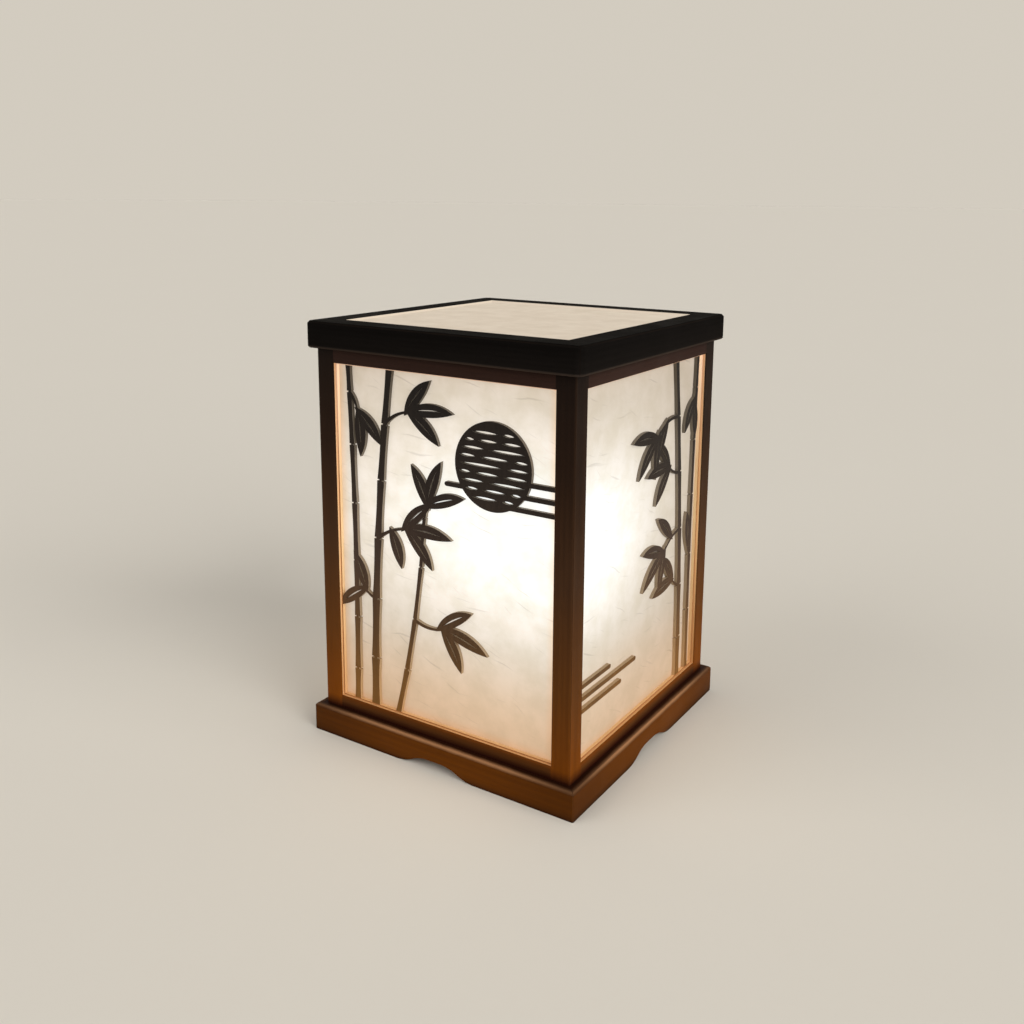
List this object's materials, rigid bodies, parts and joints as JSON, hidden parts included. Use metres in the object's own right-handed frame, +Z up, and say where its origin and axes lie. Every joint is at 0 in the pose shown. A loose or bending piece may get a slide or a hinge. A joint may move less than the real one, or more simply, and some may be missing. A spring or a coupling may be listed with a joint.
{
  "type": "andon floor lamp",
  "caption": "Square wooden floor lantern with glowing paper panes, bamboo fretwork on two sides, an arched plinth and a lift-off cap over a screw-in bulb.",
  "frame": {"origin": "centre of the plinth's underside, on the floor", "axes": "+Z up, -Y out of the front fretwork side, +X out of the right-hand fretwork side"},
  "size_m": [0.351, 0.351, 0.483],
  "materials": {
    "stained_wood": "dark walnut stain, thin satin lacquer",
    "fretwork_sheet": "dark stained thin sheet, satin",
    "plain_wood": "bare planed",
    "lit_paper": "fibrous handmade paper, lit from inside",
    "cap_paper": "fibrous handmade paper, lit from inside",
    "steel": "zinc plated",
    "dark_steel": "satin black",
    "holder_moulding": "moulded, satin",
    "brass": "plain",
    "opal_glass": "opal, satin",
    "cap_metal": "plain",
    "black_glass": "gloss"
  },
  "bodies": {
    "lantern": {"plinth_rail_front": "stained_wood", "plinth_rail_right": "stained_wood", "plinth_rail_back": "stained_wood", "plinth_rail_left": "stained_wood", "bottom_rail_front": "stained_wood", "bottom_rail_right": "stained_wood", "bottom_rail_back": "stained_wood", "bottom_rail_left": "stained_wood", "top_rail_front": "stained_wood", "top_rail_right": "stained_wood", "top_rail_back": "stained_wood", "top_rail_left": "stained_wood", "corner_post_front_right": "stained_wood", "corner_post_back_right": "stained_wood", "corner_post_back_left": "stained_wood", "corner_post_front_left": "stained_wood", "base_board": "plain_wood", "glue_blocks": "plain_wood", "paper_pane_front": "lit_paper", "upright_beads_front": "plain_wood", "cross_beads_front": "plain_wood", "paper_pane_right": "lit_paper", "upright_beads_right": "plain_wood", "cross_beads_right": "plain_wood", "paper_pane_back": "lit_paper", "upright_beads_back": "plain_wood", "cross_beads_back": "plain_wood", "paper_pane_left": "lit_paper", "upright_beads_left": "plain_wood", "cross_beads_left": "plain_wood", "fretwork_front": "fretwork_sheet", "fretwork_right": "fretwork_sheet", "plain_border_back": "stained_wood", "plain_border_left": "stained_wood", "post_screws": "steel", "stem_pipe": "steel", "stem_washer": "steel", "stem_nut": "steel", "stem_flange": "dark_steel", "lampholder_body": "holder_moulding", "lampholder_sleeve": "brass", "lampholder_contact": "brass"},
    "cap": {"cap_rail_front": "stained_wood", "cap_rail_right": "stained_wood", "cap_rail_back": "stained_wood", "cap_rail_left": "stained_wood", "cap_mitre_keys": "plain_wood", "paper_pane_cap": "cap_paper", "cap_beads": "plain_wood", "cap_dowels": "plain_wood"},
    "bulb": {"bulb_glass": "opal_glass", "bulb_screw_cap": "cap_metal", "bulb_insulator": "black_glass", "bulb_contact_tip": "cap_metal"}
  },
  "joints": [
    {"name": "cap_lift", "type": "slide", "parent": "lantern", "child": "cap", "axis": [0, 0, 1], "range_m": [0, 0.15]},
    {"name": "bulb_turn", "type": "hinge", "parent": "lantern", "child": "bulb", "pos_m": [0, 0, 0.1643], "axis": [0, 0, 1], "range_deg": [0, 900]}
  ]
}
